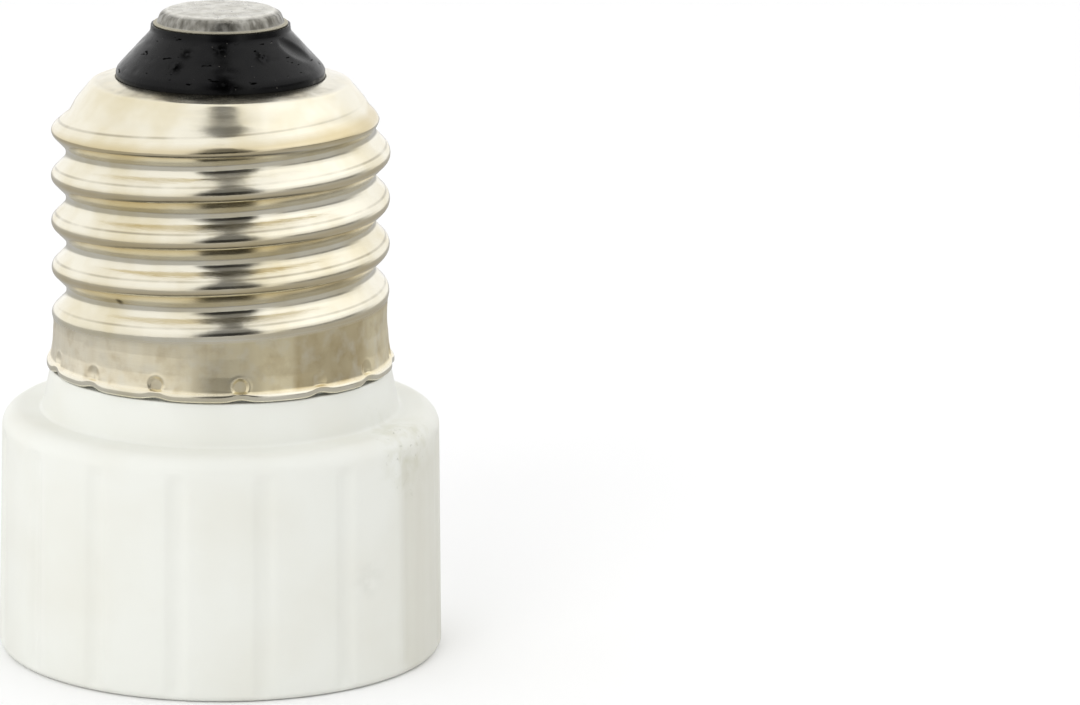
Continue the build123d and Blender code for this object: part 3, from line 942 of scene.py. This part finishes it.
@dataclass
class ScrewShell:
    """The rolled screw shell: flared skirt with staking dents, screw thread, cone and top opening."""

    lip_radius: float = 13.6
    lip_height: float = 22.52
    wall: float = 0.35
    skirt_radius: float = 13.04
    crest_radius: float = 13.15
    root_radius: float = 12.0
    pitch: float = 3.629
    crest_height: float = 28.46
    crest_round: float = 0.8
    root_round: float = 0.8
    cone_foot: float = 42.0
    cone_edge: float = 11.0
    top_height: float = 45.1
    opening: float = 7.4
    # Heights above the lip: the seam of the inner wall, the thread's start and the skirt's top.
    seam_rise: float = 0.4
    thread_rise: float = 2.6
    skirt_rise: float = 3.7
    # The thread deepens round its lowest turn, in radians from the right side, and fades out on the cone.
    thread_start: Span = (-0.45, 2.6)
    thread_end: Span = (41.0, 43.1)
    swell_width: float = 0.4
    # Rolling leaves the sheet uneven: its depth, and the waves' numbers round and up the shell.
    uneven: float = 0.009
    broad_waves: tuple[float, ...] = (7.0, 1.3, 0.9, 2.0)
    fine_waves: tuple[float, ...] = (11.0, -0.7)
    # Each stake's turn out of its even place, in degrees, and its strength, counted from the front.
    stake_count: int = 14
    stake_phase: float = 6.5
    stake_turns: tuple[float, ...] = (
        0.0, 2.6, 0.0, 0.8, -0.9, 0.4, 1.1, -0.6, 0.9, -1.2, 0.5, -0.8, -2.7, -2.7)
    stake_strengths: tuple[float, ...] = (
        1.0, 0.45, 0.55, 0.8, 0.6, 0.9, 0.5, 0.7, 0.9, 0.6, 0.8, 0.5, 0.5, 0.85)
    stake_height: float = 1.15
    stake_radius: float = 0.66
    stake_depth: float = 0.34
    stake_field: float = 1.25
    stake_cuts: int = 2
    stake_top: float = 3.0
    # The ring pushed up round a stake: its height, and its place and width in stake radii.
    burr: tuple[float, ...] = (0.02, 1.15, 0.15)
    # The lip is drawn in and up at each stake, most at the weak ones.
    lip_pull: float = 0.2
    lip_rise: float = 0.2
    lip_fade: Span = (1.0, 0.35)
    pull_width: float = 0.85
    pull_shares: Span = (1.25, 0.5)
    row_gap: float = 0.11
    cone_gap: float = 0.16
    steps: int = 5
    columns: int = 256
    sharp: float = 50.0

    def build(self, finish: bpy.types.Material) -> None:
        """Builds the shell from its lip up to the opening, then its inner wall, and hands it over.

        Args:
            finish: the shell's material.
        """
        lip, foot, skirt, top = self.lip_height, self.lip_radius, self.skirt_radius, self.top_height
        outer = rounded([
            (foot - self.wall, lip + self.seam_rise, 0),
            (foot - self.wall, lip - 0.02, 0.15),
            (foot, lip - 0.02, 0.2),
            (foot, lip + 0.5, 0.22),
            (skirt + 0.25, lip + 0.75, 0.3),
            (skirt + 0.09, lip + 1.9, 2.0),
            (skirt, lip + 3.3, 2.0),
            (skirt, lip + self.skirt_rise, 0),
        ], self.steps)
        cone = rounded([
            (self.root_radius, self.cone_foot, 0),
            (11.25, 43.4, 2.0),
            (10.05, 44.85, 0.5),
            (8.17, top + 0.17, 0.04),
            (8.12, top, 0),
            (self.opening, top, 0),
        ], self.steps)
        inner = [
            (self.opening, top - self.wall),
            (9.6, top - self.wall),
            (self.root_radius - self.wall, self.cone_foot),
            (self.root_radius - self.wall, lip + 4.3 - self.wall),
            (skirt - self.wall, lip + 3.6),
            (skirt - self.wall, lip + 2.6),
            (foot - self.wall, lip + self.seam_rise),
        ]
        straight = filled([(skirt, lip + self.skirt_rise), (skirt, self.cone_foot)], self.row_gap)
        rows = filled(outer, self.row_gap) + straight[1:] + filled(cone, self.cone_gap)[1:]
        piece = turned("screw_shell_rolled", rows, self.columns)
        select_where(piece, self.by_stake)
        bpy.ops.mesh.subdivide(number_cuts=self.stake_cuts)
        reshape(piece, self.relief)
        select_where(piece, self.at_opening)
        grow_rings((self.opening, top), inner)
        close_seams(piece)
        shade(self.sharp)
        hand_over(piece, "screw_shell", finish)

    def at_opening(self, spots: Spots) -> np.ndarray:
        """Tells which vertices lie on the rim of the top opening."""
        return (spots.height > self.top_height - 0.02) & (spots.radius < self.opening + 0.02)

    def inside_lip(self, spots: Spots) -> np.ndarray:
        """Tells which vertices lie on the inner side of the lip, where the inner wall joins it."""
        low = spots.height < self.lip_height + self.seam_rise + 0.05
        return (spots.radius < self.lip_radius - self.wall + 0.05) & low

    def by_stake(self, spots: Spots) -> np.ndarray:
        """Tells which vertices of the skirt lie where a stake is punched.

        Args:
            spots: the shell's vertices.

        Returns:
            True for each vertex near a stake.
        """
        across, rise, _ = self.nearest_stake(spots)
        outer = (spots.radius > self.skirt_radius - 0.1) & ~self.inside_lip(spots)
        return (np.hypot(across, rise) < self.stake_field) & outer

    def nearest_stake(self, spots: Spots) -> tuple[np.ndarray, np.ndarray, np.ndarray]:
        """Finds the nearest stake to each vertex.

        Args:
            spots: the shell's vertices.

        Returns:
            The distances round the skirt and up from that stake, and its strength.
        """
        share = TURN / self.stake_count
        number = np.round((spots.angle - math.radians(self.stake_phase)) / share).astype(int)
        turn = np.radians(np.array(self.stake_turns))[number % self.stake_count]
        strength = np.array(self.stake_strengths)[number % self.stake_count]
        across = (spots.angle - math.radians(self.stake_phase) - number * share - turn) * spots.radius
        return across, spots.height - self.lip_height - self.stake_height, strength

    def relief(self, spots: Spots) -> Moved:
        """Rolls the thread, punches the stakes and waves the lip.

        Args:
            spots: the shell's vertices.

        Returns:
            The new radii and heights.
        """
        radius, height, lip = spots.radius, spots.height, self.lip_height
        outside = radius > self.skirt_radius - 0.02
        round_it, up, beat, phase = self.broad_waves
        waves = np.sin(round_it * spots.angle + up * height) * np.sin(beat * height + phase)
        waves += np.sin(self.fine_waves[0] * spots.angle + self.fine_waves[1] * height)
        result = self.rolled(spots, outside) + np.where(outside, self.uneven * waves, 0.0)
        across, rise, strength = self.nearest_stake(spots)
        reach = np.hypot(across, rise) / self.stake_radius
        bowl = np.clip(1.0 - reach ** 2, 0.0, 1.0) * self.stake_depth
        tall, place, width = self.burr
        burr = tall * np.exp(-((reach - place) / width) ** 2)
        result = np.where(outside & (height < lip + self.stake_top), result - (bowl - burr) * strength, result)
        most, less = self.pull_shares
        pull = np.exp(-(across / self.pull_width) ** 2) * (most - less * strength)
        pull *= smooth(height, *(lip + fade for fade in self.lip_fade)) * (radius > self.skirt_radius)
        # The seam inside the lip stays where it is, so that the inner wall meets it.
        freedom = np.where(self.inside_lip(spots), smooth(height, lip + self.seam_rise, lip + 0.1), 1.0)
        moved = (result - self.lip_pull * pull - radius) * freedom
        return radius + moved, height + self.lip_rise * pull * freedom

    def rolled(self, spots: Spots, outside: np.ndarray) -> np.ndarray:
        """Rolls the thread: its lowest turn swells out of the skirt and deepens on its way round.

        Args:
            spots: the shell's vertices.
            outside: which of them lie on the skirt and the straight part above it.

        Returns:
            The new radii.
        """
        height, skirt = spots.height, self.skirt_radius
        threaded = outside & (height > self.lip_height + self.thread_rise) & (height < self.cone_foot + 0.01)
        on_cone = (height > self.cone_foot - 0.01) & (spots.radius > self.cone_edge)
        from_right = np.mod(spots.angle + math.pi / 2, TURN) - math.pi
        above = height - self.crest_height - self.pitch * from_right / TURN
        apart = np.abs(above - np.round(above / self.pitch) * self.pitch)
        proud = (self.ridge(apart) - self.root_radius) * (1.0 - smooth(height, *self.thread_end))
        depth = self.root_radius + proud - skirt
        groove = np.where(above < -self.pitch, np.maximum(depth, 0.0), depth)
        swell = (self.crest_radius - skirt) * np.exp(-(above / self.swell_width) ** 2)
        deep = smooth(from_right, *self.thread_start)
        depth = np.where(above < 0.0, swell * (1.0 - deep) + groove * deep, depth)
        return spots.radius + np.where(threaded, depth, np.where(on_cone, proud, 0.0))

    def ridge(self, apart: np.ndarray) -> np.ndarray:
        """Gives the thread's radius from the distance to its crest, measured along the axis.

        Args:
            apart: the distances, up to half the pitch.

        Returns:
            The radii: a round crest, straight flanks and a round root.
        """
        half = self.pitch / 2
        rounds = self.crest_round + self.root_round
        spare = self.crest_radius - self.root_radius - rounds
        flank_turn = math.asin(rounds / math.hypot(half, spare)) + math.atan2(spare, half)
        from_crest = np.maximum(self.crest_round ** 2 - apart ** 2, 0.0)
        crest = self.crest_radius - self.crest_round + np.sqrt(from_crest)
        from_root = np.maximum(self.root_round ** 2 - (half - apart) ** 2, 0.0)
        root = self.root_radius + self.root_round - np.sqrt(from_root)
        flank_start = self.crest_round * math.sin(flank_turn)
        drop = self.crest_round * (1.0 - math.cos(flank_turn))
        flank = self.crest_radius - drop - (apart - flank_start) * math.tan(flank_turn)
        in_root = apart > half - self.root_round * math.sin(flank_turn)
        return np.where(apart < flank_start, crest, np.where(in_root, root, flank))


@dataclass
class CapEnd:
    """The cap's end: the black insulator and the flanged contact button on it."""

    foot_radius: float = 8.1
    foot_height: float = 45.1
    flange_radius: float = 9.2
    flange_base: float = 43.4
    wall_base: float = 44.75
    seat_radius: float = 7.35
    cone_height: float = 45.9
    neck_radius: float = 5.38
    neck_height: float = 48.8
    top_height: float = 49.35
    stem_radius: float = 1.5
    stem_bore: float = 1.0
    stem_gap: float = 0.05
    bore_rise: float = 0.3
    rivet_radius: float = 2.2
    rivet_height: float = 43.1
    contact_radius: float = 5.2
    button_height: float = 50.64
    button_centre: float = 0.3
    # The flat knocked into the cone's right side: its angle, the radius there, its middle, its slant, its half
    # width and half height, and its depth.
    knock_angle: float = 1.09
    knock_radius: float = 6.8
    knock_height: float = 47.75
    knock_slant: float = 0.14
    knock_size: Span = (1.2, 1.0)
    knock_depth: float = 0.32
    # The small chips: their number, seed, heights on the cone, widths, heights and depths.
    chip_count: int = 46
    chip_seed: int = 7
    chip_levels: Span = (45.3, 48.6)
    chip_widths: Span = (0.15, 0.7)
    chip_talls: Span = (0.08, 0.22)
    chip_depths: Span = (0.02, 0.07)
    # The button's dents: their number, seed, reach from the axis, widths, depths and greatest depth together.
    dent_count: int = 30
    dent_seed: int = 11
    dent_reach: float = 4.0
    dent_widths: Span = (0.2, 0.7)
    dent_depths: Span = (0.01, 0.05)
    dent_limit: float = 0.12
    dent_fade: Span = (0.75, 1.0)
    row_gap: float = 0.16
    columns: int = 192
    insulator_sharp: float = 40.0
    contact_sharp: float = 45.0

    def build(self, black: bpy.types.Material, tin: bpy.types.Material) -> None:
        """Builds the insulator and the contact and hands them over.

        Args:
            black: the insulator's material.
            tin: the contact's material.
        """
        stem = self.stem_radius + self.stem_gap
        section = rounded([
            (stem, self.flange_base, 0),
            (self.flange_radius, self.flange_base, 0.15),
            (self.flange_radius, self.wall_base, 0),
            (self.seat_radius, self.wall_base, 0),
            (self.seat_radius, self.foot_height, 0),
            (self.foot_radius, self.foot_height, 0.12),
            (self.foot_radius, self.cone_height, 0.9),
            (self.neck_radius + 0.05, self.neck_height, 0.5),
            (self.neck_radius, self.top_height, 0),
            (stem, self.top_height, 0),
            (stem, self.flange_base, 0),
        ])
        piece = turned("cap_insulator_moulded", filled(section, self.row_gap), self.columns)
        reshape(piece, self.chips)
        close_seams(piece)
        shade(self.insulator_sharp)
        hand_over(piece, "cap_insulator", black)
        self.build_contact(tin)

    def chips(self, spots: Spots) -> Moved:
        """Wears the cone: a flat knocked into its right side, and small chips.

        Args:
            spots: the insulator's vertices.

        Returns:
            The new radii and heights.
        """
        cone = (spots.height > self.foot_height + 0.05) & (spots.radius > self.neck_radius - 0.1)
        draw = np.random.default_rng(self.chip_seed)
        rise = spots.height - self.knock_height
        across = (spots.angle - self.knock_angle + self.knock_slant * rise) * self.knock_radius
        away = (across / self.knock_size[0]) ** 2 + (rise / self.knock_size[1]) ** 2
        cut = self.knock_depth * np.clip(1.0 - away, 0.0, 1.0)
        for _ in range(self.chip_count):
            place, level = draw.uniform(-math.pi, math.pi), draw.uniform(*self.chip_levels)
            wide, tall = draw.uniform(*self.chip_widths), draw.uniform(*self.chip_talls)
            depth = draw.uniform(*self.chip_depths)
            across = (np.mod(spots.angle - place + math.pi, TURN) - math.pi) * spots.radius
            cut += depth * np.exp(-((across / wide) ** 2 + ((spots.height - level) / tall) ** 2))
        return spots.radius - np.where(cone, cut, 0.0), spots.height

    def build_contact(self, tin: bpy.types.Material) -> None:
        """Builds the contact button with its thin flange and hollow stem.

        Args:
            tin: the contact's material.
        """
        rim, seat, top = self.contact_radius, self.top_height, self.button_height
        section = rounded([
            (self.stem_bore, seat + self.bore_rise, 0),
            (self.stem_bore, self.rivet_height, 0),
            (self.rivet_radius, self.rivet_height, 0),
            (self.rivet_radius, self.flange_base, 0),
            (self.stem_radius, self.flange_base, 0),
            (self.stem_radius, seat, 0),
            (rim, seat, 0.08),
            (rim, seat + 0.15, 0.06),
            (rim - 0.25, seat + 0.15, 0.08),
            (4.65, seat + 0.85, 0.4),
            (4.1, top - 0.15, 0.25),
            (self.button_centre, top, 0),
        ])
        piece = turned("centre_contact_button", filled(section, self.row_gap) + [(0.0, top)], self.columns)
        reshape(piece, self.dents)
        close_seams(piece)
        select_where(piece, self.bore_end)
        bpy.ops.mesh.edge_face_add()
        close_seams(piece)
        shade(self.contact_sharp)
        hand_over(piece, "centre_contact", tin)

    def bore_end(self, spots: Spots) -> np.ndarray:
        """Tells which vertices lie at the blind end of the stem's bore, which a face closes."""
        level = np.abs(spots.height - self.top_height - self.bore_rise) < 0.02
        return level & (spots.radius < self.stem_bore + 0.02)

    def dents(self, spots: Spots) -> Moved:
        """Dents the button's top.

        Args:
            spots: the contact's vertices.

        Returns:
            The new radii and heights.
        """
        top = smooth(spots.height, *(self.top_height + fade for fade in self.dent_fade))
        top = top * (spots.radius > self.button_centre + 0.01)
        draw = np.random.default_rng(self.dent_seed)
        drop = np.zeros_like(spots.radius)
        for _ in range(self.dent_count):
            place, out = draw.uniform(-math.pi, math.pi), self.dent_reach * math.sqrt(draw.uniform())
            wide, depth = draw.uniform(*self.dent_widths), draw.uniform(*self.dent_depths)
            x = spots.radius * np.sin(spots.angle) - out * math.sin(place)
            y = spots.radius * np.cos(spots.angle) - out * math.cos(place)
            drop += depth * np.exp(-(x * x + y * y) / wide ** 2)
        return spots.radius, spots.height - top * np.minimum(drop, self.dent_limit)


@dataclass
class Socket:
    """The socket: the ceramic insert with its plate, screws, eyelets and contact strips."""

    ceramic_edge: float = 0.3
    screw_edge: float = 0.12
    sheet_edge: float = 0.08

    def build(self, ceramic: bpy.types.Material) -> None:
        """Builds the socket's pieces and hands them over.

        Args:
            ceramic: the insert's and the plate's material.
        """
        brass = Metal.BRASS.material()
        zinc = Metal.ZINC.material()
        pieces = [
            ("socket_insert", "socket_insert_pressed", self.ceramic_edge, "ceramic", ceramic),
            ("back_plate", "back_plate_pressed", self.ceramic_edge, "ceramic", ceramic),
            ("fixing_screws", "fixing_screws_headed", self.screw_edge, "zinc_steel", zinc),
            ("eyelets", "eyelets_rolled", self.sheet_edge, "brass", brass),
            ("contact_live", "contact_live_strip", self.sheet_edge, "brass", brass),
            ("contact_neutral", "contact_neutral_strip", self.sheet_edge, "brass", brass),
        ]
        for node, name, edge, slot, finish in pieces:
            hand_over(softened(node, name, edge), node, finish)


@dataclass
class Wiring:
    """The leads inside the cap, whose solids already have the right shape."""

    conductors: tuple[str, ...] = ("live_conductor", "neutral_conductor")
    sleeves: tuple[str, ...] = ("live_sleeve", "neutral_sleeve")
    joint: str = "centre_solder"

    def build(self) -> None:
        """Gives the leads and the solder their finishes."""
        copper = Metal.COPPER.material()
        silicone = SiliconeSleeve().material()
        for node in self.conductors:
            dress_node(node, copper)
        for node in self.sleeves:
            dress_node(node, silicone)
        dress_node(self.joint, Metal.SOLDER.material())


@dataclass
class Studio:
    """The floor, the light and the camera. The floor's and the lamp's sizes are in metres."""

    distance: float = 422.7
    elevation: float = 13.32
    aim_height: float = 23.29
    focal_pixels: float = 5407.6
    axis_pixel: float = 220.6
    picture_width: float = 1080.0
    sensor: float = 36.0
    clip_start: float = 10.0
    floor_size: float = 6.0
    floor_drop: float = 0.02
    floor_tone: str = "#FAFAFA"
    floor_roughness: float = 0.9
    lamp_place: Place = (-0.25, -0.55, 0.35)
    lamp_size: float = 0.4
    lamp_power: float = 1.05
    wall_level: float = 1.0
    nearest_ahead: float = -0.02
    opening_shift: float = 0.085
    # The tent as the metal mirrors it, each wall with its level of light. In order: the dim right, the upper
    # part, the sky behind and above, the bright upper right, the gap of the opening, the dark round the lens, the
    # table, and the adapter's own shade on it.
    walls: tuple[tuple[float, tuple[Ramp, ...]], ...] = (
        (0.28, (Ramp(Way.RIGHT, 0.55, 0.8),)),
        (1.06, (Ramp(Way.UP, 0.05, 0.25),)),
        (1.1, (Ramp(Way.BACK, 0.1, 0.7),)),
        (1.1, (Ramp(Way.UP, 0.5, 0.9),)),
        (1.3, (Ramp(Way.RIGHT, 0.1, 0.6), Ramp(Way.UP, 0.35, 0.65))),
        (0.2, (Ramp(Way.OPENING, 0.5, 0.26), Ramp(Way.UP, -0.1, 0.02), Ramp(Way.UP, 0.998, 0.985))),
        (0.03, (Ramp(Way.OPENING, 0.5, 0.26), Ramp(Way.UP, -0.1, 0.02), Ramp(Way.UP, 0.62, 0.4))),
        (0.52, (Ramp(Way.UP, -0.04, -0.16),)),
        (0.12, (Ramp(Way.UP, -0.7, -0.92),)),
    )

    def build(self) -> None:
        """Sets up the floor, the light and the camera."""
        self.build_floor()
        self.build_surroundings()
        self.build_lamp()
        self.build_camera()
        bpy.context.scene.view_settings.view_transform = "Standard"

    def build_floor(self) -> None:
        """Lays a plain pale paper floor just under the rim."""
        deselect_all()
        bpy.ops.mesh.primitive_plane_add(size=self.floor_size, location=(0.0, 0.0, -self.floor_drop * MM))
        floor = bpy.context.object
        floor.name = "floor"
        floor.visible_glossy = False
        paper = bpy.data.materials.new("pale_paper")
        paper.use_nodes = True
        shader = paper.node_tree.nodes["Principled BSDF"]
        shader.inputs["Base Color"].default_value = linear(self.floor_tone)
        shader.inputs["Roughness"].default_value = self.floor_roughness
        floor.data.materials.append(paper)

    def build_surroundings(self) -> None:
        """Makes a white tent that is open on the camera's side, where the metal mirrors the dark room."""
        world = bpy.data.worlds.new("white_tent")
        bpy.context.scene.world = world
        world.use_nodes = True
        graph = Graph(world.node_tree, "Generated", 1.0, "SMOOTHSTEP")
        ahead = {0: graph.values[Way.BACK], 1: self.nearest_ahead}
        ahead = graph.add("ShaderNodeMath", ahead, operation="MINIMUM").outputs["Value"]
        slant = {0: graph.values[Way.RIGHT], 1: ahead}
        slant = graph.add("ShaderNodeMath", slant, operation="DIVIDE").outputs["Value"]
        slant = {0: slant, 1: self.opening_shift}
        slant = graph.add("ShaderNodeMath", slant, operation="ADD").outputs["Value"]
        opening = graph.add("ShaderNodeMath", {0: slant}, operation="ABSOLUTE").outputs["Value"]
        graph.values[Way.OPENING] = opening
        level = self.wall_level
        for wall, ramps in self.walls:
            levels = {0: graph.zone(ramps), 2: level, 3: wall}
            level = graph.add("ShaderNodeMix", levels, data_type="FLOAT").outputs[0]
        # The camera itself sees the tent plain white.
        seen = {0: graph.add("ShaderNodeLightPath").outputs["Is Camera Ray"], 2: level, 3: 1.0}
        strength = graph.add("ShaderNodeMix", seen, data_type="FLOAT").outputs[0]
        graph.feed(graph.tree.nodes["Background"], {"Color": (1.0, 1.0, 1.0, 1.0), "Strength": strength})

    def build_lamp(self) -> None:
        """Hangs one large soft lamp at the upper left of the camera."""
        deselect_all()
        bpy.ops.object.light_add(type="AREA", location=self.lamp_place)
        lamp = bpy.context.object
        lamp.name = "soft_front"
        lamp.data.size = self.lamp_size
        lamp.data.energy = self.lamp_power
        lamp.visible_glossy = False
        aim = Vector((0.0, 0.0, self.aim_height * MM)) - lamp.location
        lamp.rotation_euler = aim.to_track_quat("-Z", "Y").to_euler()

    def build_camera(self) -> None:
        """Sets the camera where the picture was taken from."""
        tilt = math.radians(self.elevation)
        reach = self.distance * MM
        place = (0.0, -reach * math.cos(tilt), self.aim_height * MM + reach * math.sin(tilt))
        deselect_all()
        bpy.ops.object.camera_add(location=place, rotation=(math.pi / 2 - tilt, 0.0, 0.0))
        camera = bpy.context.object
        camera.data.sensor_width = self.sensor
        camera.data.lens = self.focal_pixels / self.picture_width * self.sensor
        camera.data.shift_x = 0.5 - self.axis_pixel / self.picture_width
        camera.data.clip_start = self.clip_start * MM
        bpy.context.scene.camera = camera


def main() -> None:
    """Builds the adapter's pieces in order, then the studio."""
    logging.basicConfig(level=logging.INFO, format="%(message)s")
    Casing().build(MouldedWhite().material())
    ScrewShell().build(NickelPlate().material())
    CapEnd().build(BlackMoulding().material(), TinnedContact().material())
    Socket().build(PressedCeramic().material())
    Wiring().build()
    Studio().build()
    deselect_all()


if __name__ == "__main__":
    main()
